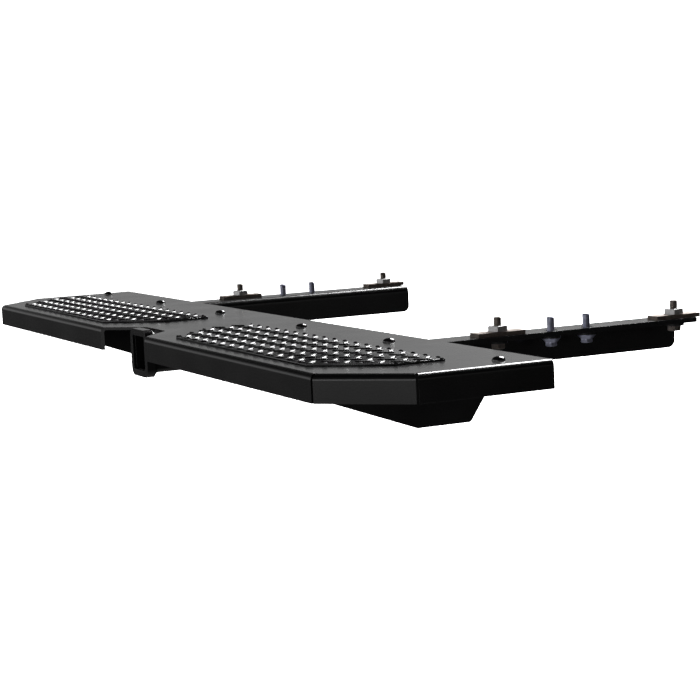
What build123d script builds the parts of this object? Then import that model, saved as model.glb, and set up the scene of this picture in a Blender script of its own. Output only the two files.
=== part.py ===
from build123d import *
import math
import os

# Hitch receiver step, in mm. The origin is the middle of the four studs, on the arms' top face.
# +X is to the right seen from behind the vehicle, +Y points to the vehicle, +Z is up.

# Deck: one sheet folded down along the rear, the cut corners and the sides
deck_width = 1600.0
deck_depth = 281.0
deck_sheet = 4.5
deck_flange = 36.0
deck_bend = 8.0
deck_corner_cut = 94.0
deck_to_studs = 505.5
seam_gap = 3.0
notch_mouth = 210.0
notch_root = 84.0
notch_depth = 56.0

# Tread plates, each a six-sided sheet of diamond plate with raised lugs
tread_sheet = 3.0
tread_rear_margin = 28.0
tread_front_margin = 101.0
tread_side_margin = 90.0
tread_half_gap = 98.0
tread_corner_cut = 80.0
lug_length = 28.0
lug_width = 8.5
lug_height = 1.4
lug_root = 0.1
lug_angle = 40.0
lug_pitch_x = 33.8
lug_pitch_y = 31.6
lug_shift_x = -8.0
lug_shift_y = -13.0
lug_margin = 0.8

# Receiver tube for a two-inch shank, with its collar
receiver_outer = 60.0
receiver_inner = 51.5
receiver_corner = 7.0
collar_outer = 73.0
collar_length = 14.0
collar_corner = 13.0
collar_mouth = 52.5
collar_lip = 4.5
collar_setback = 25.5
pin_hole_radius = 8.15
pin_hole_setback = 63.0

# Side plates: folded angle arms that carry the deck and bolt to the vehicle
arm_sheet = 7.0
arm_bend = 12.0
arm_inside = 428.0
arm_flange = 63.5
arm_height = 48.0
arm_front_margin = 29.0
arm_front_round = 12.0
arm_rear_gap = 2.0
arm_rear_height = 23.5
belly_depth = 123.5
belly_rear = -226.5
belly_front = -141.5
belly_end = -89.5
belly_round = 5.0

# Cross tube between the side plates
cross_width = 60.0
cross_height = 100.0
cross_wall = 4.0
cross_corner = 8.0
cross_lift = 4.0

# Deck rails: folded angles under the deck's bolt line
rail_leg = 30.0
rail_sheet = 4.0
rail_bend = 7.0
rail_end_gap = 2.0

# Deck bolts with domed heads and square necks
deck_bolt_inner = 166.0
deck_bolt_edge = 42.0
deck_bolt_from_front = 53.0
dome_radius = 10.0
dome_height = 5.0
deck_bolt_radius = 4.0
deck_bolt_neck = 8.0
deck_neck_gap = 0.5
deck_hole_gap = 0.5
deck_bolt_reach = 11.0

# Vehicle bolts on the arms: flange bolts in slots, plate bolts through nut plates
arm_bolt_edge = 16.5
stud_spacing_y = 59.0
stud_radius = 5.0
stud_rise = 19.0
stud_slot_length = 20.0
stud_slot_gap = 1.25
stud_disc_radius = 12.5
stud_disc_height = 2.5
stud_hex_flats = 16.0
stud_hex_height = 9.5
plate_width = 25.0
plate_length = 75.0
plate_sheet = 6.0
plate_rear_y = -115.5
plate_pitch = 295.5
plate_hole_gap = 0.5
square_nut_flats = 17.5
square_nut_height = 8.0
plate_bolt_spare = 12.0
plate_bolt_flats = 17.0
plate_bolt_head = 7.0

# Places worked out from the sizes above
deck_rear = -deck_to_studs
deck_front = deck_rear + deck_depth
deck_top = deck_sheet
tread_top = deck_top + tread_sheet
receiver_z = -receiver_outer / 2
collar_face = deck_rear + collar_setback
cross_y = (belly_rear + belly_front) / 2
cross_z = -belly_depth + cross_lift + cross_height / 2
arm_outside = arm_inside + arm_flange
arm_rear = deck_rear + deck_bend + arm_rear_gap
arm_front = plate_rear_y + plate_pitch + arm_front_margin
bolt_line = deck_front - deck_bolt_from_front
arm_bolt_x = arm_outside - arm_bolt_edge
through = 4 * belly_depth


def mirrored(right):
    """The left-hand twin of a right-hand piece."""
    return mirror(right, about=Plane.YZ)


def along_y(section, start, end):
    """A section drawn in X and Z, pushed from one Y to another."""
    placed = Plane((0, start, 0), x_dir=(1, 0, 0), z_dir=(0, -1, 0)) * section
    return extrude(placed, end - start, dir=(0, 1, 0))


def upright(radius, bottom, top):
    """A round bar standing on Z."""
    return Pos(0, 0, bottom) * Cylinder(radius, top - bottom, align=(Align.CENTER, Align.CENTER, Align.MIN))


def hex_bar(flats, bottom, top):
    """A six-sided bar standing on Z, given across its flats."""
    outline = RegularPolygon(flats / 2, 6, major_radius=False)
    return extrude(Pos(0, 0, bottom) * outline, top - bottom)


def spread(piece, spots):
    """Copies of one piece at several X and Y, as one group."""
    return Compound([Pos(x, y, 0) * piece for x, y in spots])


# Deck
def deck_plan(front):
    """Deck outline with the two rear corners cut at 45 degrees."""
    half = deck_width / 2
    right = [(half - deck_corner_cut, deck_rear), (half, deck_rear + deck_corner_cut), (half, front)]
    left = [(-x, y) for x, y in reversed(right)]
    return Polygon(*right, *left, align=None)


def folded_block(plan, bottom, top, radius):
    """A block over the plan, its top edges rounded except the front one."""
    block = extrude(Pos(0, 0, bottom) * plan, top - bottom)
    rim = block.faces().sort_by(Axis.Z)[-1].edges().sort_by(Axis.Y)
    return fillet(rim[:-1], radius)


def seam_cut(x, y, angle):
    """The open seam where two flanges meet at a corner, cut in to just past their bends."""
    depth = deck_bend / math.cos(math.radians(22.5)) + seam_gap / 2
    slot = Box(depth + deck_bend, seam_gap, through, align=(Align.MIN, Align.CENTER, Align.CENTER))
    return Pos(x, y, 0) * Rot(0, 0, angle) * Pos(-deck_bend, 0, 0) * slot


deck_bolt_x = (deck_bolt_inner, (arm_inside + arm_outside) / 2, deck_width / 2 - deck_bolt_edge)
deck_bolt_grip = (rail_sheet, arm_sheet, rail_sheet)
deck_bolt_spots = [(side * x, bolt_line) for x in deck_bolt_x for side in (-1, 1)]
deck_bolt_grips = [grip for grip in deck_bolt_grip for side in (-1, 1)]
deck_hole = upright(deck_bolt_radius + deck_hole_gap, -through, through)

deck_inside = offset(deck_plan(deck_front + 2 * deck_sheet), -deck_sheet, kind=Kind.INTERSECTION)
deck = folded_block(deck_plan(deck_front), deck_top - deck_flange, deck_top, deck_bend)
deck -= folded_block(deck_inside, -deck_flange - deck_sheet, 0, deck_bend - deck_sheet)
notch_plan = Polygon(
    (notch_mouth / 2, deck_rear - deck_sheet),
    (notch_mouth / 2, deck_rear),
    (notch_root / 2, deck_rear + notch_depth),
    (-notch_root / 2, deck_rear + notch_depth),
    (-notch_mouth / 2, deck_rear),
    (-notch_mouth / 2, deck_rear - deck_sheet),
    align=None,
)
deck -= extrude(notch_plan, through, both=True)
rear_seam = seam_cut(deck_width / 2 - deck_corner_cut, deck_rear, 112.5)
side_seam = seam_cut(deck_width / 2, deck_rear + deck_corner_cut, 157.5)
for seam in (rear_seam, side_seam):
    deck -= seam
    deck -= mirrored(seam)
neck_hole = deck_bolt_neck + 2 * deck_neck_gap
deck -= spread(Box(neck_hole, neck_hole, through), deck_bolt_spots)


# Tread plates
tread_rear = deck_rear + tread_rear_margin
tread_front = deck_front - tread_front_margin
tread_outer = deck_width / 2 - tread_side_margin
tread_corners = [
    (tread_half_gap + tread_corner_cut, tread_rear),
    (tread_outer - tread_corner_cut, tread_rear),
    (tread_outer, tread_rear + tread_corner_cut),
    (tread_outer, tread_front),
    (tread_half_gap, tread_front),
    (tread_half_gap, tread_rear + tread_corner_cut),
]


def edge_room(x, y):
    """Distance from a point to the nearest edge of the right tread plate, positive inside."""
    room = []
    for (ax, ay), (bx, by) in zip(tread_corners, tread_corners[1:] + tread_corners[:1]):
        room.append(((bx - ax) * (y - ay) - (by - ay) * (x - ax)) / math.hypot(bx - ax, by - ay))
    return min(room)


def lug_fits(x, y, angle):
    """True when both ends of a lug keep their margin to the plate's edge."""
    dx = math.cos(math.radians(angle)) * lug_length / 2
    dy = math.sin(math.radians(angle)) * lug_length / 2
    return min(edge_room(x + dx, y + dy), edge_room(x - dx, y - dy)) > lug_margin


def raised_lug():
    """One lug: a low lozenge pyramid whose foot starts just inside the sheet."""
    rise = lug_root + lug_height
    half_length = lug_length / 2 * rise / lug_height
    half_width = lug_width / 2 * rise / lug_height
    foot = Polygon((half_length, 0), (0, half_width), (-half_length, 0), (0, -half_width), align=None)
    return Pos(0, 0, -lug_root) * loft([foot.face(), Vertex(0, 0, rise)], ruled=True)


def lug_places():
    """Places of the lugs: two nets half a pitch apart, turned to either side of X."""
    middle_x = (tread_half_gap + tread_outer) / 2 + lug_shift_x
    middle_y = (tread_rear + tread_front) / 2 + lug_shift_y
    columns = math.ceil((tread_outer - tread_half_gap) / 2 / lug_pitch_x) + 1
    rows = math.ceil((tread_front - tread_rear) / 2 / lug_pitch_y) + 1
    places = []
    for net, angle in ((0.0, lug_angle), (0.5, -lug_angle)):
        for i in range(-columns, columns + 1):
            for j in range(-rows, rows + 1):
                x = middle_x + (i + net) * lug_pitch_x
                y = middle_y + (j + net) * lug_pitch_y
                if lug_fits(x, y, angle):
                    places.append((x, y, angle))
    return places


lug = raised_lug()
lugs = [Pos(x, y, tread_top) * Rot(0, 0, angle) * lug for x, y, angle in lug_places()]
right_tread = extrude(Pos(0, 0, deck_top) * Polygon(*tread_corners, align=None), tread_sheet)
right_tread = right_tread.fuse(*lugs)

# Receiver collar and tube
receiver_wall = (receiver_outer - receiver_inner) / 2
receiver_start = collar_face + collar_lip
receiver_end = cross_y - cross_width / 2
receiver_profile = Pos(0, receiver_z) * RectangleRounded(receiver_outer, receiver_outer, receiver_corner)
receiver_space = Pos(0, receiver_z) * RectangleRounded(
    receiver_inner, receiver_inner, receiver_corner - receiver_wall
)
collar_profile = Pos(0, receiver_z) * RectangleRounded(collar_outer, collar_outer, collar_corner)
collar_space = Pos(0, receiver_z) * RectangleRounded(
    collar_mouth, collar_mouth, receiver_corner - receiver_wall
)
collar = along_y(collar_profile, collar_face, collar_face + collar_length)
collar -= along_y(collar_space, collar_face, receiver_start)
collar -= along_y(receiver_profile, receiver_start, collar_face + collar_length)

pin_hole = Rot(0, 90, 0) * Cylinder(pin_hole_radius, 2 * receiver_outer)
receiver = along_y(receiver_profile - receiver_space, receiver_start, receiver_end)
receiver -= Pos(0, collar_face + pin_hole_setback, receiver_z) * pin_hole


# Side plates
def folded_angle(across, down, sheet, bend):
    """Section of a folded angle: its outer corner at the origin, one leg to +x and one to -y."""
    outer = Polygon((0, 0), (0, -down), (across, -down), (across, 0), align=None)
    outer = fillet(outer.vertices().sort_by_distance((0, 0, 0))[0], bend)
    inner = Polygon((sheet, -sheet), (sheet, -2 * down), (2 * across, -2 * down), (2 * across, -sheet), align=None)
    inner = fillet(inner.vertices().sort_by_distance((0, 0, 0))[0], bend - sheet)
    return outer - inner


def side_profile():
    """Side view of an arm in Y and Z: rear taper, belly for the cross tube, straight front."""
    corners = {
        (arm_rear, arm_sheet): 0,
        (arm_rear, -arm_rear_height): 0,
        (belly_rear, -belly_depth): belly_round,
        (belly_front, -belly_depth): belly_round,
        (belly_end, -arm_height): belly_round,
        (arm_front, -arm_height): arm_front_round,
        (arm_front, arm_sheet): 0,
    }
    profile = Polygon(*corners, align=None)
    for (y, z), radius in corners.items():
        if radius:
            profile = fillet(profile.vertices().sort_by_distance((y, z, 0))[0], radius)
    return profile


stud_spots = [(side * arm_bolt_x, end * stud_spacing_y / 2) for side in (-1, 1) for end in (-1, 1)]
plate_spots = [(side * arm_bolt_x, plate_rear_y + end * plate_pitch) for side in (-1, 1) for end in (0, 1)]
stud_slot = Rot(0, 0, 90) * SlotOverall(stud_slot_length, 2 * (stud_radius + stud_slot_gap))
plate_hole = upright(stud_radius + plate_hole_gap, -through, through)

arm_section = Pos(arm_inside, 0) * folded_angle(arm_flange, belly_depth, arm_sheet, arm_bend)
right_arm = along_y(arm_section, arm_rear, arm_front)
right_arm &= extrude(Plane.YZ * side_profile(), 2 * arm_outside)
right_arm -= spread(extrude(stud_slot, through, both=True), stud_spots)
right_arm -= spread(plate_hole, plate_spots)
right_arm -= spread(deck_hole, deck_bolt_spots)

# Cross tube, from web to web
cross_profile = RectangleRounded(cross_width, cross_height, cross_corner)
cross_profile -= RectangleRounded(
    cross_width - 2 * cross_wall, cross_height - 2 * cross_wall, cross_corner - cross_wall
)
cross_tube = extrude(Plane.YZ * Pos(cross_y, cross_z) * cross_profile, arm_inside, both=True)


# Deck rails
def deck_rail(start, end):
    """A folded angle along X under the bolt line, its upright leg to the rear."""
    section = folded_angle(rail_leg, rail_leg, rail_sheet, rail_bend)
    corner = bolt_line - (rail_leg + rail_bend) / 2
    rail = extrude(Plane.YZ.offset(start) * Pos(corner, 0) * section, end - start)
    return rail - spread(deck_hole, deck_bolt_spots)


inner_rail = deck_rail(receiver_outer / 2, arm_inside)
outer_rail = deck_rail(arm_outside, deck_width / 2 - deck_bend - rail_end_gap)

# Deck bolts, each reaching far enough below what it clamps to take a nut
dome_ball = (dome_radius**2 + dome_height**2) / (2 * dome_height)
dome = split(Pos(0, 0, dome_height - dome_ball) * Sphere(dome_ball), Plane.XY, keep=Keep.TOP)
deck_bolt_head = Pos(0, 0, deck_top) * dome
deck_bolt_head += Pos(0, 0, deck_top / 2) * Box(deck_bolt_neck, deck_bolt_neck, deck_top)
deck_bolts = []
for (x, y), grip in zip(deck_bolt_spots, deck_bolt_grips):
    shank = upright(deck_bolt_radius, -grip - deck_bolt_reach, 0)
    deck_bolts.append(Pos(x, y, 0) * (deck_bolt_head + shank))

# Nut plates, square nuts and their bolts
nut_bottom = plate_sheet
nut_top = nut_bottom + square_nut_height
nut_plate = Pos(0, 0, plate_sheet / 2) * Box(plate_width, plate_length, plate_sheet) - plate_hole
square_nut = Pos(0, 0, (nut_bottom + nut_top) / 2) * Box(square_nut_flats, square_nut_flats, square_nut_height)
square_nut -= upright(stud_radius, nut_bottom, nut_top)
plate_bolt = upright(stud_radius, -arm_sheet, nut_top + plate_bolt_spare)
plate_bolt += hex_bar(plate_bolt_flats, -arm_sheet - plate_bolt_head, -arm_sheet)

# Flange bolts that stand up through the arm slots
disc_bottom = -arm_sheet - stud_disc_height
flange_bolt = upright(stud_radius, -arm_sheet, stud_rise) + upright(stud_disc_radius, disc_bottom, -arm_sheet)
flange_bolt += hex_bar(stud_hex_flats, disc_bottom - stud_hex_height, disc_bottom)

nodes = {
    "deck": deck,
    "right_tread_plate": right_tread,
    "left_tread_plate": mirrored(right_tread),
    "receiver_collar": collar,
    "receiver_tube": receiver,
    "cross_tube": cross_tube,
    "right_side_plate": right_arm,
    "left_side_plate": mirrored(right_arm),
    "right_inner_rail": inner_rail,
    "left_inner_rail": mirrored(inner_rail),
    "right_outer_rail": outer_rail,
    "left_outer_rail": mirrored(outer_rail),
    "deck_bolts": Compound(deck_bolts),
    "square_nuts": spread(square_nut, plate_spots),
    "plate_bolts": spread(plate_bolt, plate_spots),
    "flange_bolts": spread(flange_bolt, stud_spots),
}
for name, (x, y) in zip(("left_rear", "left_front", "right_rear", "right_front"), plate_spots):
    nodes[name + "_nut_plate"] = Pos(x, y, 0) * nut_plate

os.makedirs("parts", exist_ok=True)
for name, shape in nodes.items():
    export_step(shape, "parts/" + name + ".step")
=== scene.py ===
import math

import bmesh
import bpy
import numpy as np
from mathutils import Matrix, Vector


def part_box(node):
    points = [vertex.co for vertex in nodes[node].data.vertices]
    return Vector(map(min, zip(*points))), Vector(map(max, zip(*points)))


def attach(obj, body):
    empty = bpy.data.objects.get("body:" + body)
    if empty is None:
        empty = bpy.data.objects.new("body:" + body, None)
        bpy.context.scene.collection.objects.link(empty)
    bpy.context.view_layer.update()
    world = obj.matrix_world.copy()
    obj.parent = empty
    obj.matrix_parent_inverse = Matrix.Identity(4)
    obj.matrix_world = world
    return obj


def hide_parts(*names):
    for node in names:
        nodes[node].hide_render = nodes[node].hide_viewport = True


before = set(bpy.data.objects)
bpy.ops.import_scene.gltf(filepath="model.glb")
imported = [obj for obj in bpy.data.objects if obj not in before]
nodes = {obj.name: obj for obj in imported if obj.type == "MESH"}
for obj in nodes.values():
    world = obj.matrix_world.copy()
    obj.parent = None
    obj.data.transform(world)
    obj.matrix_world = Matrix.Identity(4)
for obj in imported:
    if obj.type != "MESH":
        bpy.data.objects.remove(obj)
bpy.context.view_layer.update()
mm = 0.001

# Receiver: a square steel tube with a thick square collar pushed over its mouth and welded on.
# Like all the sheet and tube of the step it is powder coated: a satin black film with a faint
# orange peel, slow clouds in its gloss, and cut edges that the film rounds off.
cloud_dark, cloud_pale = 0.3, 0.7
cloud_size, cloud_detail = 90.0, 3.0
peel_size, peel_detail, peel_depth = 1.8, 1.0, 0.005
corner_reach = 0.004
flat_angle, edge_angle = math.radians(1.0), math.radians(40.0)
frame_edge, edge_segments = 0.6, 2


def new_material(name):
    """An empty material: its node tree, its shader and the object's own coordinates."""
    material = bpy.data.materials.new(name)
    material.use_nodes = True
    tree = material.node_tree
    return material, tree, tree.nodes["Principled BSDF"], tree.nodes.new("ShaderNodeTexCoord")


def noise(tree, place, size, detail):
    """Cloud noise with patches of the given size in millimetres, on the object's own coordinates."""
    node = tree.nodes.new("ShaderNodeTexNoise")
    node.inputs["Scale"].default_value = 1.0 / (size * mm)
    node.inputs["Detail"].default_value = detail
    tree.links.new(place.outputs["Object"], node.inputs["Vector"])
    return node.outputs["Fac"]


def spread_value(tree, source, low, high):
    """Noise between its dark and pale level mapped linearly onto low to high."""
    node = tree.nodes.new("ShaderNodeMapRange")
    node.inputs["From Min"].default_value = cloud_dark
    node.inputs["From Max"].default_value = cloud_pale
    node.inputs["To Min"].default_value = low
    node.inputs["To Max"].default_value = high
    tree.links.new(source, node.inputs["Value"])
    return node.outputs["Result"]


def blend_colours(tree, source, first, second):
    """A colour that goes from the first to the second as the noise goes from dark to pale."""
    node = tree.nodes.new("ShaderNodeValToRGB")
    ends = ((cloud_dark, first), (cloud_pale, second))
    for element, (position, colour) in zip(node.color_ramp.elements, ends):
        element.position = position
        element.color = (*colour, 1.0)
    tree.links.new(source, node.inputs["Fac"])
    return node.outputs["Color"]


def relief(tree, shader, height, depth):
    """Small relief of the given depth in millimetres on the shader's normal."""
    node = tree.nodes.new("ShaderNodeBump")
    node.inputs["Strength"].default_value = 1.0
    node.inputs["Distance"].default_value = depth * mm
    tree.links.new(height, node.inputs["Height"])
    tree.links.new(node.outputs["Normal"], shader.inputs["Normal"])


def powder_coat(name, dark, pale, smooth, rough):
    """Black powder coat: colour and gloss in slow clouds, orange peel as fine relief."""
    material, tree, shader, place = new_material(name)
    clouds = noise(tree, place, cloud_size, cloud_detail)
    tree.links.new(blend_colours(tree, clouds, dark, pale), shader.inputs["Base Color"])
    tree.links.new(spread_value(tree, clouds, smooth, rough), shader.inputs["Roughness"])
    relief(tree, shader, noise(tree, place, peel_size, peel_detail), peel_depth)
    return material


def joined_faces():
    """A node group that joins loose triangles at their corners and shades them smooth."""
    group = bpy.data.node_groups.new("joined_faces", "GeometryNodeTree")
    for way in ("INPUT", "OUTPUT"):
        group.interface.new_socket("Geometry", in_out=way, socket_type="NodeSocketGeometry")
    enter = group.nodes.new("NodeGroupInput")
    join = group.nodes.new("GeometryNodeMergeByDistance")
    join.inputs["Distance"].default_value = corner_reach * mm
    smooth = group.nodes.new("GeometryNodeSetShadeSmooth")
    leave = group.nodes.new("NodeGroupOutput")
    group.links.new(enter.outputs[0], join.inputs[0])
    group.links.new(join.outputs[0], smooth.inputs[0])
    group.links.new(smooth.outputs[0], leave.inputs[0])
    return group


def finish_steel(name, material, rounding):
    """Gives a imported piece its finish: one skin, merged flats, rounded cut edges, even shading."""
    piece = nodes[name]
    piece.data.materials.clear()
    piece.data.materials.append(material)
    piece.modifiers.new("skin", "NODES").node_group = skin_group
    flats = piece.modifiers.new("flats", "DECIMATE")
    flats.decimate_type = "DISSOLVE"
    flats.angle_limit = flat_angle
    edges = piece.modifiers.new("edges", "BEVEL")
    edges.width = rounding * mm
    edges.segments = edge_segments
    edges.limit_method = "ANGLE"
    edges.angle_limit = edge_angle
    piece.modifiers.new("shading", "WEIGHTED_NORMAL")


skin_group = joined_faces()
coat = powder_coat("black_powder_coat", (0.006, 0.006, 0.0062), (0.009, 0.009, 0.0092), 0.21, 0.25)
for name in ("receiver_tube", "receiver_collar"):
    finish_steel(name, coat, frame_edge)

# Side plates, cross tube and rails: the cross tube is welded between the webs of the two folded
# arms and carries the receiver, and the folded rails under the deck's bolt line run from the
# receiver to the arms and on to the deck's ends. All of it is coated after welding.
for name in (
    "right_side_plate", "left_side_plate", "cross_tube",
    "right_inner_rail", "left_inner_rail", "right_outer_rail", "left_outer_rail",
):
    finish_steel(name, coat, frame_edge)

# Welds: fillet beads run by hand along the joints of the receiver, cross tube, arms and rails
# before coating, each a chain of overlapping puddles under the same black film.
receiver_size, receiver_corner, receiver_leg = 60.0, 7.0, 4.0
cross_width, cross_height, cross_corner, cross_leg = 60.0, 100.0, 8.0, 3.4
rail_leg, rail_bead_foot, rail_bead_top = 3.0, 1.0, -8.0
bead_step, bead_columns, bead_run_out = 1.5, 6, 3.0
puddle_swell, puddle_rate = 0.09, 2.1
drift_swell, drift_rate = 0.05, 0.37
weld_crease = 60.0
ring_points = 128
merge_reach = 0.002


def resample(points, normals, step, closed):
    """The same path with stations one step apart, by linear interpolation over its length."""
    if closed:
        points = np.concatenate([points, points[:1]])
        normals = np.concatenate([normals, normals[:1]])
    length = np.concatenate([[0.0], np.cumsum(np.linalg.norm(np.diff(points, axis=0), axis=1))])
    count = int(length[-1] / step)
    stations = np.linspace(0.0, length[-1], count + (0 if closed else 1), endpoint=not closed)
    columns = [np.interp(stations, length, column) for column in (*points.T, *normals.T)]
    width = points.shape[1]
    return np.stack(columns[:width], axis=1), np.stack(columns[width:], axis=1)


def rounded_ring(width, height, corner):
    """Points and outward normals round a rectangle with round corners, one bead step apart."""
    angle = np.linspace(0.0, 2.0 * math.pi, ring_points, endpoint=False) + math.pi / ring_points / 2
    normal = np.stack([np.cos(angle), np.sin(angle)], axis=1)
    middle = np.sign(normal) * (np.array([width, height]) / 2 - corner)
    return resample(middle + corner * normal, normal, bead_step, True)


def bead(roots, aside, ahead, leg, closed):
    """Fillet bead: a quarter round about each root from one wall to the other, swollen by puddles."""
    along = np.arange(len(roots))
    swell = puddle_swell * np.sin(along * puddle_rate) + drift_swell * np.sin(along * drift_rate)
    size = leg * (1.0 + swell)
    if not closed:
        size = size * np.sqrt(np.clip(np.minimum(along, along[::-1]) / bead_run_out, 0.0, 1.0))
    sweep = np.linspace(0.0, math.pi / 2, bead_columns)[None, :, None]
    arc = np.cos(sweep) * aside[:, None, :] + np.sin(sweep) * ahead[:, None, :]
    skin = roots[:, None, :] + size[:, None, None] * arc
    return np.concatenate([roots[:, None, :], skin], axis=1)


def level_bead(first, last, aside, ahead, leg):
    """A straight bead from the first point to the last, between two walls given by their directions."""
    ends = np.array([first, last], float)
    roots, _ = resample(ends, ends, bead_step, False)
    directions = (np.broadcast_to(np.array(way, float), roots.shape) for way in (aside, ahead))
    return bead(roots, *directions, leg, False), False


def grid_faces(rows, columns, ring_rows):
    """Quads of a grid that closes on itself across its columns, and along its rows if asked."""
    row, column = np.meshgrid(np.arange(rows if ring_rows else rows - 1), np.arange(columns), indexing="ij")
    after_row, after_column = (row + 1) % rows, (column + 1) % columns
    corners = ((row, column), (row, after_column), (after_row, after_column), (after_row, column))
    return np.stack([r * columns + c for r, c in corners], axis=2).reshape(-1, 4)


def mesh_of_grids(name, grids, crease):
    """One mesh from grids in millimetres: poles and seams merged, edges sharper than the crease kept."""
    mesh = bpy.data.meshes.new(name)
    points, faces, start = [], [], 0
    for grid, ring_rows in grids:
        points.append(grid.reshape(-1, 3) * mm)
        faces.append(grid_faces(*grid.shape[:2], ring_rows) + start)
        start += len(points[-1])
    mesh.from_pydata(np.concatenate(points).tolist(), [], np.concatenate(faces).tolist())
    shell = bmesh.new()
    shell.from_mesh(mesh)
    bmesh.ops.remove_doubles(shell, verts=shell.verts, dist=merge_reach * mm)
    bmesh.ops.dissolve_degenerate(shell, edges=shell.edges, dist=merge_reach * mm)
    bmesh.ops.recalc_face_normals(shell, faces=shell.faces)
    shell.to_mesh(mesh)
    shell.free()
    mesh.polygons.foreach_set("use_smooth", np.ones(len(mesh.polygons), bool))
    mesh.set_sharp_from_angle(angle=math.radians(crease))
    return mesh


def add_piece(name, mesh, material, slot, *stands_for):
    """Puts a finished mesh into the scene as one piece of the step."""
    mesh.materials.append(material)
    piece = bpy.data.objects.new(name, mesh)
    bpy.context.collection.objects.link(piece)
    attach(piece, "root")
    if stands_for:
        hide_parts(*stands_for)


def in_mm(node):
    """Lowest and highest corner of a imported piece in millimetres."""
    return tuple(np.array(corner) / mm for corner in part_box(node))


def middle_of(node):
    """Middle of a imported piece's box in millimetres."""
    low, high = in_mm(node)
    return (low + high) / 2


tube_low, tube_high = in_mm("receiver_tube")
cross_low, cross_high = in_mm("cross_tube")
rail_low, rail_high = in_mm("right_inner_rail")
collar_back = in_mm("receiver_collar")[1][1]
tube_half = receiver_size / 2
tube_flat = tube_half - receiver_corner
joint_y = tube_high[1]
beads = []

ring, ring_out = rounded_ring(receiver_size, receiver_size, receiver_corner)
roots = np.column_stack([ring[:, 0], np.full(len(ring), collar_back), ring[:, 1] + tube_low[2] + tube_half])
outward = np.column_stack([ring_out[:, 0], np.zeros(len(ring)), ring_out[:, 1]])
forwards = np.broadcast_to([0.0, 1.0, 0.0], roots.shape)
beads.append((bead(roots, outward, forwards, receiver_leg, True), True))

cross_middle = middle_of("cross_tube")
ring, ring_out = rounded_ring(cross_width, cross_height, cross_corner)
outward = np.column_stack([np.zeros(len(ring)), ring_out])
for side, wall in ((1.0, cross_high[0]), (-1.0, cross_low[0])):
    roots = np.column_stack([np.full(len(ring), wall), ring + cross_middle[1:]])
    inwards = np.broadcast_to([-side, 0.0, 0.0], roots.shape)
    beads.append((bead(roots, outward, inwards, cross_leg, True), True))

for side in (1.0, -1.0):
    beads.append(level_bead(
        (tube_half * side, joint_y, cross_high[2] - cross_corner),
        (tube_half * side, joint_y, tube_low[2] + receiver_corner),
        (side, 0.0, 0.0), (0.0, -1.0, 0.0), receiver_leg))
    for wall, way in ((rail_low[0], 1.0), (rail_high[0], -1.0)):
        beads.append(level_bead(
            (wall * side, rail_low[1], rail_low[2] + rail_bead_foot),
            (wall * side, rail_low[1], rail_bead_top),
            (way * side, 0.0, 0.0), (0.0, -1.0, 0.0), rail_leg))
beads.append(level_bead(
    (-tube_flat, joint_y, tube_low[2]), (tube_flat, joint_y, tube_low[2]),
    (0.0, 0.0, -1.0), (0.0, -1.0, 0.0), receiver_leg))
add_piece("weld_beads", mesh_of_grids("weld_beads", beads, weld_crease), coat, "black_powder_coat")

# Deck: one steel sheet, cut out flat with its notch, corner seams and square bolt holes, then
# folded down along the rear, the cut corners and the ends, and coated like the frame.
deck_edge = 0.3
finish_steel("deck", coat, deck_edge)

# Tread plates: two pieces cut from rolled diamond plate, its lens-shaped lugs in two crossing
# nets that run off the cut edges, coated black and bonded on the deck. Each sheet runs on past
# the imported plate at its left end.
sheet_thickness, sheet_edge, sheet_overrun = 2.7, 0.3, 12.0
edge_share = 0.3
corner_cut = 80.0
lug_length, lug_width, lug_height, lug_sunk = 28.0, 8.5, 1.65, 0.15
lug_flank, lug_crown = 0.42, 2.4
lug_turn = math.radians(40.0)
lug_pitch = np.array([33.8, 31.6])
lug_shift = np.array([-8.0, -13.0])
lug_edge_gap = 0.1
cut_reach = 0.001
tread_crease = 50.0


def lug_surface():
    """One lug: two arcs give the lens, and the height rises from its rim to a nearly flat crown."""
    half_length, half_width = lug_length / 2, lug_width / 2
    arc = (half_length**2 + half_width**2) / (2 * half_width)
    along = np.array([-1.0, -0.82, -0.48, 0.0, 0.48, 0.82, 1.0])[:, None]
    across = np.array([-1.0, -0.86, -0.68, -0.4, 0.0, 0.4, 0.68, 0.86, 1.0])[None, :]
    x = half_length * along + 0.0 * across
    y = across * (np.sqrt(arc**2 - x**2) - (arc - half_width))
    room = arc - np.hypot(x, np.abs(y) + arc - half_width)
    rise = np.clip(room / (lug_flank * half_width), 0.0, 1.0)
    z = (lug_height + lug_sunk) * (1.0 - (1.0 - rise) ** lug_crown) - lug_sunk
    return np.stack([x, y, z], axis=2)


def lug_net(low, high, side):
    """Places and turns of the lugs: two nets half a pitch apart, one sheet's pattern for both plates."""
    middle = (low[:2] + high[:2]) / 2
    start = (middle + lug_shift) * np.array([side, 1.0])
    middle = start + np.round((middle - start) / lug_pitch) * lug_pitch
    reach = np.ceil((high[:2] - low[:2]) / 2 / lug_pitch) + 1
    i, j = np.meshgrid(*(np.arange(-count, count + 1) for count in reach), indexing="ij")
    steps = np.stack([i.ravel(), j.ravel()], axis=1)
    spots = np.concatenate([middle + steps * lug_pitch, middle + (steps + 0.5) * lug_pitch])
    return spots, np.repeat([side * lug_turn, -side * lug_turn], len(steps))


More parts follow.
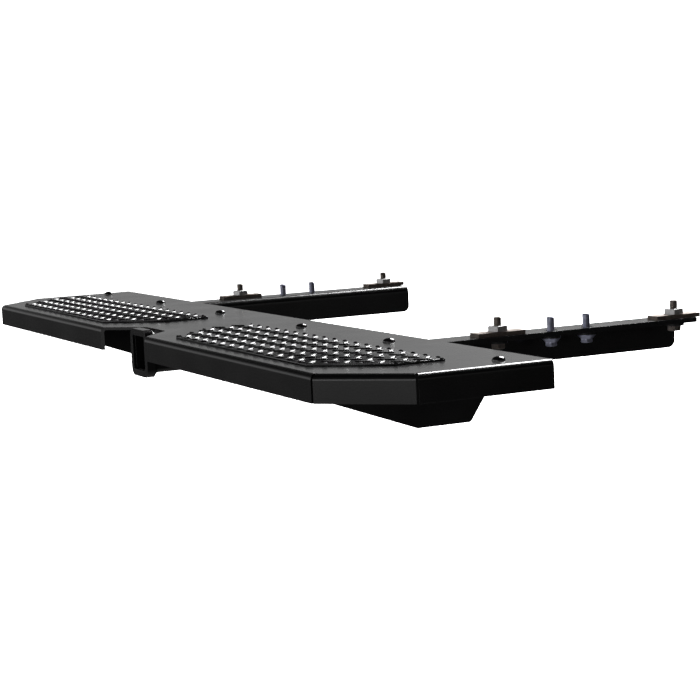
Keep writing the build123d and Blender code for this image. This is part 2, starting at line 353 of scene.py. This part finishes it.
def tread_outline(low, high):
    """Corners of the six-sided plate, its two rear corners cut at 45 degrees, and its inward mitres."""
    left, rear, right, front = low[0], low[1], high[0], high[1]
    corners = np.array([
        (left + corner_cut, rear), (right - corner_cut, rear), (right, rear + corner_cut),
        (right, front), (left, front), (left, rear + corner_cut)])
    edge = np.roll(corners, -1, axis=0) - corners
    inward = np.stack([-edge[:, 1], edge[:, 0]], axis=1) / np.linalg.norm(edge, axis=1)[:, None]
    before = np.roll(inward, 1, axis=0)
    mitre = (inward + before) / (1.0 + np.sum(inward * before, axis=1))[:, None]
    return corners, inward, mitre


def lug_shell(name, spots, turns, top):
    """Closed lugs at every place of the nets: one lug turned and moved onto the sheet's top each time."""
    lug = lug_surface()
    rows, columns = lug.shape[:2]
    cosine, sine = np.cos(turns)[:, None], np.sin(turns)[:, None]
    x, y, z = (part[None, :] for part in lug.reshape(-1, 3).T)
    points = np.stack([
        spots[:, :1] + x * cosine - y * sine, spots[:, 1:] + x * sine + y * cosine, top + z + 0.0 * cosine,
    ], axis=2)
    index = np.arange(rows * columns).reshape(rows, columns)
    quads = np.stack([index[:-1, :-1], index[1:, :-1], index[1:, 1:], index[:-1, 1:]], axis=2).reshape(-1, 4)
    starts = np.arange(len(spots))[:, None, None] * rows * columns
    loose = bpy.data.meshes.new(name + "_lugs")
    faces = (quads[None] + starts).reshape(-1, 4)
    loose.from_pydata((points.reshape(-1, 3) * mm).tolist(), [], faces.tolist())
    shell = bmesh.new()
    shell.from_mesh(loose)
    bpy.data.meshes.remove(loose)
    bmesh.ops.remove_doubles(shell, verts=shell.verts, dist=merge_reach * mm)
    bmesh.ops.holes_fill(shell, edges=[edge for edge in shell.edges if edge.is_boundary], sides=0)
    return shell


def tread_mesh(name, low, high, side):
    """The plate with its lugs, which are cut at its edges: the sheet is its outline at five levels."""
    longer = np.array([sheet_overrun, 0.0, 0.0])
    corners, inward, mitre = tread_outline(low - longer * (side > 0), high + longer * (side < 0))
    bottom, top = low[2], low[2] + sheet_thickness
    shell = lug_shell(name, *lug_net(low, high, side), top)
    for corner, way in zip(corners, inward):
        cut = bmesh.ops.bisect_plane(
            shell, geom=shell.verts[:] + shell.edges[:] + shell.faces[:], dist=cut_reach * mm,
            plane_co=(*((corner + way * lug_edge_gap) * mm), 0.0), plane_no=(*-way, 0.0), clear_outer=True)
        bmesh.ops.edgeloop_fill(
            shell, edges=[part for part in cut["geom_cut"] if isinstance(part, bmesh.types.BMEdge)])
    between = edge_share * sheet_edge
    inset = np.array([sheet_edge, 0.0, 0.0, between, sheet_edge])
    level = np.array([bottom, bottom + sheet_edge, top - sheet_edge, top - between, top])
    levels, count = len(level), len(corners)
    plan = corners[None] + inset[:, None, None] * mitre[None]
    wall = np.concatenate([plan, np.broadcast_to(level[:, None, None], (levels, count, 1))], axis=2)
    under, over = list(range(count))[::-1], list(range((levels - 1) * count, levels * count))
    plate = bpy.data.meshes.new(name)
    plate.from_pydata(
        (wall.reshape(-1, 3) * mm).tolist(), [], grid_faces(levels, count, False).tolist() + [under, over])
    shell.from_mesh(plate)
    bmesh.ops.scale(shell, vec=(side, 1.0, 1.0), verts=shell.verts)
    bmesh.ops.recalc_face_normals(shell, faces=shell.faces)
    shell.to_mesh(plate)
    shell.free()
    plate.polygons.foreach_set("use_smooth", np.ones(len(plate.polygons), bool))
    plate.set_sharp_from_angle(angle=math.radians(tread_crease))
    return plate


tread_coat = powder_coat("black_tread", (0.011, 0.011, 0.0115), (0.015, 0.015, 0.0155), 0.20, 0.28)
tread_low, tread_high = in_mm("right_tread_plate")
for side, name in ((1.0, "right_tread_plate"), (-1.0, "left_tread_plate")):
    piece = name.replace("plate", "sheet")
    add_piece(piece, tread_mesh(piece, tread_low, tread_high, side), tread_coat, "black_tread", name)

# Deck bolts: six M8 carriage bolts with black domed heads and square necks that sit in the deck's
# square holes. Under the rails and arms each takes a plain washer and a hex nut, both zinc plated.
dome_radius, dome_height, dome_fullness, dome_rows = 8.6, 5.4, 0.9, 12
packed_dome_radius = 10.0
neck_corner, neck_turn = 5.6, 45.0
deck_rod_radius, deck_rod_pitch, deck_rod_point = 4.0, 1.25, 0.8
deck_rod_reach, deck_rod_top = 11.0, 0.3
inner_bolt_x, arm_bolt_x = 166.0, 459.75
rail_sheet, arm_sheet = 4.0, 7.0
washer_bore, washer_radius, washer_sheet, washer_edge = 4.2, 8.0, 1.6, 0.2
nut_flats, nut_bore, nut_height, nut_crown = 13.0, 3.5, 6.5, 6.2
thread_depth, thread_slope, thread_root = 0.12, 1.35, 0.17
cone_slope = math.tan(math.radians(30.0))
nut_land, nut_foot = 0.97, 0.4
patch_detail = 4.0
mark_size, mark_detail, mark_depth = 0.6, 2.0, 0.01
dome_crease, nut_crease = 35.0, 25.0


def round_angles(columns):
    """Angles of the given number of columns, evenly round the circle."""
    return np.linspace(0.0, 2.0 * math.pi, columns, endpoint=False)


def turned(radii, heights, columns=40):
    """Turned shape about Z: radius and height run with the row, the angle with the column."""
    angle = round_angles(columns)[None, :]
    radius, height = np.array(radii, float)[:, None], np.array(heights, float)[:, None]
    return np.stack([radius * np.cos(angle), radius * np.sin(angle), height + 0.0 * angle], axis=2)


def sided(flats, sides, angle):
    """Distance from the axis to the wall of a regular prism, flats apart, in the given direction."""
    step = 2.0 * math.pi / sides
    return flats / 2 / np.cos(np.mod(angle + step / 2, step) - step / 2)


def threaded(radius, pitch, bottom, top, chamfer, columns=20, rows_per_turn=8):
    """Threaded rod about Z: radius dips once per pitch of height plus turn; both ends are chamfered."""
    height = np.linspace(bottom, top, int((top - bottom) / pitch * rows_per_turn) + 2)[:, None]
    angle = round_angles(columns)[None, :]
    turn = np.mod(height / pitch - angle / (2.0 * math.pi), 1.0)
    crest = np.clip(thread_slope * np.abs(2.0 * turn - 1.0) - thread_root, 0.0, 1.0)
    reach = radius - thread_depth * pitch * (1.0 - crest)
    reach = np.minimum(reach, radius - chamfer + np.minimum(height - bottom, top - height))
    rod = np.stack([reach * np.cos(angle), reach * np.sin(angle), height + 0.0 * angle], axis=2)
    ends = turned([0.0, 0.0], [bottom, top], columns)
    return np.concatenate([ends[:1], rod, ends[1:]])


def flat_washer(bore, radius, sheet, edge, bottom):
    """Washer about Z: a flat ring with its two outer corners taken off."""
    return turned(
        [bore, radius - edge, radius, radius, radius - edge, bore],
        bottom + np.array([0.0, 0.0, edge, sheet - edge, sheet, sheet]))


def sided_nut(flats, sides, bore, bottom, top, crown, columns=48):
    """Nut about Z: a prism whose end faces are cut back by a 30 degree cone outside the crown radius."""
    angle = round_angles(columns)
    wall = sided(flats, sides, angle)
    land = np.minimum(nut_land * wall, crown)
    drop = (wall - land) * cone_slope
    hole, none = np.full(columns, bore), np.zeros(columns)
    radius = np.stack([hole, land, wall, wall, land, hole])
    under, over = none + bottom, none + top
    height = np.stack([under, under, bottom + nut_foot * drop, top - drop, over, over])
    return np.stack([radius * np.cos(angle), radius * np.sin(angle), height], axis=2)


def spun(grid, degrees):
    """A grid turned about Z by the given angle."""
    cosine, sine = math.cos(math.radians(degrees)), math.sin(math.radians(degrees))
    return grid @ np.array([[cosine, sine, 0.0], [-sine, cosine, 0.0], [0.0, 0.0, 1.0]])


def placed(grids, spots):
    """Copies of grids, each with its row closing, at several X and Y."""
    return [(grid + np.array([*spot, 0.0]), ring) for spot in spots for grid, ring in grids]


def plated(name, dark, pale, smooth, rough, grain):
    """Plated or oxidised bare steel: colour and gloss in patches the size of the grain, fine drawn marks."""
    material, tree, shader, place = new_material(name)
    patches = noise(tree, place, grain, patch_detail)
    tree.links.new(blend_colours(tree, patches, dark, pale), shader.inputs["Base Color"])
    tree.links.new(spread_value(tree, patches, smooth, rough), shader.inputs["Roughness"])
    shader.inputs["Metallic"].default_value = 1.0
    relief(tree, shader, noise(tree, place, mark_size, mark_detail), mark_depth)
    return material


head_black = powder_coat("black_bolt", (0.008, 0.008, 0.0085), (0.012, 0.012, 0.0125), 0.10, 0.16)
clear_zinc = plated("clear_zinc", (0.50, 0.50, 0.50), (0.66, 0.66, 0.66), 0.36, 0.5, 5.0)
deck_top = in_mm("deck")[1][2]
bolt_y = middle_of("deck_bolts")[1]
end_bolt_x = in_mm("deck_bolts")[1][0] - packed_dome_radius
dome_turn = np.linspace(0.0, math.pi / 2, dome_rows)
dome = turned(
    [0.0, *(dome_radius * np.cos(dome_turn) ** dome_fullness)],
    [deck_top, *(deck_top + dome_height * np.sin(dome_turn) ** dome_fullness)])
neck = spun(turned([0.0, neck_corner, neck_corner, 0.0], [0.0, 0.0, deck_top, deck_top], 4), neck_turn)
bolts, clamps = [], []
for x, sheet in ((inner_bolt_x, rail_sheet), (arm_bolt_x, arm_sheet), (end_bolt_x, rail_sheet)):
    spots = [(x, bolt_y), (-x, bolt_y)]
    rod = threaded(deck_rod_radius, deck_rod_pitch, -sheet - deck_rod_reach, deck_rod_top, deck_rod_point)
    bolts += placed([(dome, False), (neck, False), (rod, False)], spots)
    seat = -sheet - washer_sheet
    washer = flat_washer(washer_bore, washer_radius, washer_sheet, washer_edge, seat)
    hex_nut = sided_nut(nut_flats, 6, nut_bore, seat - nut_height, seat, nut_crown)
    clamps += placed([(washer, True), (hex_nut, True)], spots)
add_piece(
    "deck_bolt_set", mesh_of_grids("deck_bolt_set", bolts, dome_crease),
    head_black, "black_bolt", "deck_bolts")
add_piece("deck_nut_set", mesh_of_grids("deck_nut_set", clamps, nut_crease), clear_zinc, "zinc_nut")

# Nut plates: four flat steel bars on the arms, sawn to length and left with a dark brown oxide
# from heat treatment, paler in some patches than in others. A plate bolt comes up through each.
plate_edge = 0.5
plate_names = [end + "_nut_plate" for end in ("left_rear", "left_front", "right_rear", "right_front")]
dark_oxide = plated("dark_oxide", (0.135, 0.112, 0.098), (0.215, 0.185, 0.165), 0.5, 0.64, 7.0)
for name in plate_names:
    finish_steel(name, dark_oxide, plate_edge)

# Plate bolts and square nuts: oxidised bolts with hex heads under the arms, a thick black washer
# between head and arm, and a crowned square nut of clear zinc on top of each nut plate.
rod_radius, rod_pitch, rod_point, rod_sunk = 5.45, 1.5, 1.0, 0.5
heavy_bore, heavy_radius, heavy_sheet, heavy_edge = 5.4, 14.5, 3.6, 0.4
head_flats, head_bottom, head_land = 18.6, -18.2, 0.93
square_flats, square_bore, square_crown, square_turn = 19.2, 4.4, 12.0, 15.0
head_top = -arm_sheet - heavy_sheet
bolt_crease = 30.0


def hex_head(flats, bottom, top, columns=48):
    """Bolt head about Z: a hex prism, its lower end cut back by a 30 degree cone to a round land."""
    angle = round_angles(columns)
    wall = sided(flats, 6, angle)
    land = np.full(columns, head_land * flats / 2)
    none = np.zeros(columns)
    radius = np.stack([none, land, wall, wall, none])
    under, over = none + bottom, none + top
    height = np.stack([under, under, bottom + (wall - land) * cone_slope, over, over])
    return np.stack([radius * np.cos(angle), radius * np.sin(angle), height], axis=2)


bolt_oxide = plated("bolt_oxide", (0.17, 0.145, 0.13), (0.24, 0.21, 0.19), 0.26, 0.34, 5.0)
plate_spots = [tuple(middle_of(name)[:2]) for name in plate_names]
plate_rod = threaded(rod_radius, rod_pitch, head_top - rod_sunk, in_mm("plate_bolts")[1][2], rod_point)
plate_head = hex_head(head_flats, head_bottom, head_top)
plate_bolts = placed([(plate_rod, False), (plate_head, False)], plate_spots)
add_piece(
    "plate_bolt_set", mesh_of_grids("plate_bolt_set", plate_bolts, bolt_crease),
    bolt_oxide, "dark_steel", "plate_bolts")
nut_low, nut_high = in_mm("square_nuts")
square_nut = spun(sided_nut(square_flats, 4, square_bore, nut_low[2], nut_high[2], square_crown), square_turn)
square_nuts = placed([(square_nut, True)], plate_spots)
add_piece(
    "square_nut_set", mesh_of_grids("square_nut_set", square_nuts, nut_crease),
    clear_zinc, "zinc_nut", "square_nuts")

# Flange bolts: four bolts in blue zinc that stand up through the arm slots to take the vehicle's
# nuts. The flange narrows down to the hex as a cone, and the same black washer bridges the slot.
stud_half_spacing = 29.5
stud_flats, stud_rim, rim_sheet = 16.0, 13.2, 1.0
stud_cone_end, stud_bottom = -17.4, -22.2
hex_rows, cone_rows = 4, 7


def flange_head(flats, rim, top, cone_end, bottom, columns=48):
    """Flange bolt head about Z: the wider of a hex prism and a cone that spreads to the rim."""
    angle = round_angles(columns)[None, :]
    rim_foot = top - rim_sheet
    level = np.concatenate([
        np.linspace(bottom, cone_end, hex_rows), np.linspace(cone_end, rim_foot, cone_rows)[1:],
        [top - rim_sheet / 2, top]])
    cone = np.interp(level, [cone_end, rim_foot], [flats / 2, rim])[:, None]
    wall = np.maximum(sided(flats, 6, angle), cone)
    land = np.full(columns, head_land * flats / 2)[None, :]
    radius = np.concatenate([0 * land, land, wall, 0 * land])
    height = np.concatenate([[bottom, bottom], level, [top]])[:, None] + 0.0 * angle
    height[2] += ((wall[0] - land) * cone_slope)[0]
    return np.stack([radius * np.cos(angle), radius * np.sin(angle), height], axis=2)


blue_zinc = plated("blue_zinc", (0.36, 0.375, 0.49), (0.46, 0.475, 0.59), 0.28, 0.34, 4.0)
arm_line = plate_spots[-1][0]
stud_spots = [(side * arm_line, end * stud_half_spacing) for side in (-1.0, 1.0) for end in (-1.0, 1.0)]
stud_rod = threaded(rod_radius, rod_pitch, head_top - rod_sunk, in_mm("flange_bolts")[1][2], rod_point)
stud_head = flange_head(stud_flats, stud_rim, head_top, stud_cone_end, stud_bottom)
flange_bolts = placed([(stud_rod, False), (stud_head, False)], stud_spots)
add_piece(
    "flange_bolt_set", mesh_of_grids("flange_bolt_set", flange_bolts, bolt_crease),
    blue_zinc, "zinc_bolt", "flange_bolts")
heavy_washer = flat_washer(heavy_bore, heavy_radius, heavy_sheet, heavy_edge, head_top)
heavy_washers = placed([(heavy_washer, True)], plate_spots + stud_spots)
add_piece("arm_washers", mesh_of_grids("arm_washers", heavy_washers, bolt_crease), head_black, "black_bolt")

# Studio: a pale floor well below the held step with a white sheet all round, a large soft box
# overhead on the vehicle's side, and a dim room with a pale band along the horizon that is
# brightest on the side away from the vehicle.
floor_size, floor_height = 60.0, -0.62
backdrop_radius, backdrop_top, backdrop_columns = 25.0, 30.0, 96
up, rearwards = (0.0, 0.0, 1.0), (-0.087, -0.996, 0.0)
height_stops = (
    (-1.0, 0.6), (-0.65, 0.42), (-0.35, 0.10), (-0.05, 0.14),
    (0.03, 1.0), (0.18, 1.0), (0.28, 0.04), (1.0, 0.02))
rear_stops = (
    (-0.55, 0.10), (-0.43, 0.47), (-0.34, 0.44), (-0.24, 0.43), (0.1, 0.34),
    (0.5, 0.40), (0.86, 2.5), (0.93, 2.6), (0.985, 0.9))
box_place, box_target = np.array([-4.52, 6.46, 6.16]), np.array([0.0, -0.3, 0.0])
box_size, box_power = 5.6, 2150.0


def level_sheet(name, size, height):
    """A flat square in X and Y about the Z axis at the given height, in metres."""
    across = np.array([-0.5, 0.5, 0.5, -0.5]) * size
    along = np.array([-0.5, -0.5, 0.5, 0.5]) * size
    mesh = bpy.data.meshes.new(name)
    mesh.from_pydata(np.stack([across, along, np.full(4, height)], axis=1).tolist(), [], [(0, 1, 2, 3)])
    return bpy.data.objects.new(name, mesh)


def round_wall(name, radius, bottom, top, columns):
    """An upright cylinder wall in metres: the angle runs round the circle, the height from bottom to top."""
    wall = turned([radius, radius], [bottom, top], columns)
    mesh = bpy.data.meshes.new(name)
    mesh.from_pydata(wall.reshape(-1, 3).tolist(), [], grid_faces(2, columns, False).tolist())
    return bpy.data.objects.new(name, mesh)


floor = level_sheet("floor", floor_size, floor_height)
backdrop = round_wall("backdrop", backdrop_radius, floor_height, backdrop_top, backdrop_columns)
for stand in (floor, backdrop):
    white = bpy.data.materials.new(stand.name + "_white")
    white.use_nodes = True
    shader = white.node_tree.nodes["Principled BSDF"]
    shader.inputs["Base Color"].default_value = (0.9, 0.9, 0.9, 1.0)
    shader.inputs["Roughness"].default_value = 0.9
    shader.inputs["Specular IOR Level"].default_value = 0.0
    shader.inputs["Emission Color"].default_value = (1.0, 1.0, 1.0, 1.0)
    shader.inputs["Emission Strength"].default_value = 1.0
    stand.data.materials.append(white)
    stand.visible_glossy = False
    stand.visible_diffuse = False
    stand.visible_shadow = False
    bpy.context.collection.objects.link(stand)

world = bpy.data.worlds.new("studio")
world.use_nodes = True
bpy.context.scene.world = world
room = world.node_tree
look = room.nodes.new("ShaderNodeTexCoord")


def room_ramp(direction, stops):
    """Brightness of the room by how far the looking direction points along the given one, -1 to 1."""
    along = room.nodes.new("ShaderNodeVectorMath")
    along.operation = "DOT_PRODUCT"
    along.inputs[1].default_value = direction
    room.links.new(look.outputs["Generated"], along.inputs[0])
    half = room.nodes.new("ShaderNodeMapRange")
    half.inputs["From Min"].default_value = -1.0
    room.links.new(along.outputs["Value"], half.inputs["Value"])
    ramp = room.nodes.new("ShaderNodeValToRGB")
    while len(ramp.color_ramp.elements) < len(stops):
        ramp.color_ramp.elements.new(0.5)
    for element, (position, level) in zip(ramp.color_ramp.elements, stops):
        element.position = (position + 1.0) / 2.0
        element.color = (level, level, level, 1.0)
    room.links.new(half.outputs["Result"], ramp.inputs["Fac"])
    return ramp.outputs["Color"]


both = room.nodes.new("ShaderNodeVectorMath")
both.operation = "MULTIPLY"
room.links.new(room_ramp(up, height_stops), both.inputs[0])
room.links.new(room_ramp(rearwards, rear_stops), both.inputs[1])
room.links.new(both.outputs["Vector"], room.nodes["Background"].inputs["Color"])

panel = bpy.data.lights.new("overhead_box", "AREA")
panel.shape = "DISK"
panel.size = box_size
panel.energy = box_power
soft_box = bpy.data.objects.new("overhead_box", panel)
aim = box_target - box_place
soft_box.location = box_place
soft_box.rotation_euler = (
    math.acos(-aim[2] / np.linalg.norm(aim)), 0.0, math.atan2(aim[1], aim[0]) - math.pi / 2)
bpy.context.collection.objects.link(soft_box)

# Camera: where the photograph was taken from, low on the right behind the step, with its slight
# tilt and its long lens.
camera_data = bpy.data.cameras.new("camera")
camera_data.sensor_width = 36.0
camera_data.lens = 95.97
camera = bpy.data.objects.new("camera", camera_data)
camera.location = (2.72433, -1.40059, 0.27735)
camera.rotation_euler = tuple(math.radians(turn) for turn in (83.634, 2.703, 64.531))
bpy.context.collection.objects.link(camera)
bpy.context.scene.camera = camera
bpy.context.scene.view_settings.view_transform = "Standard"
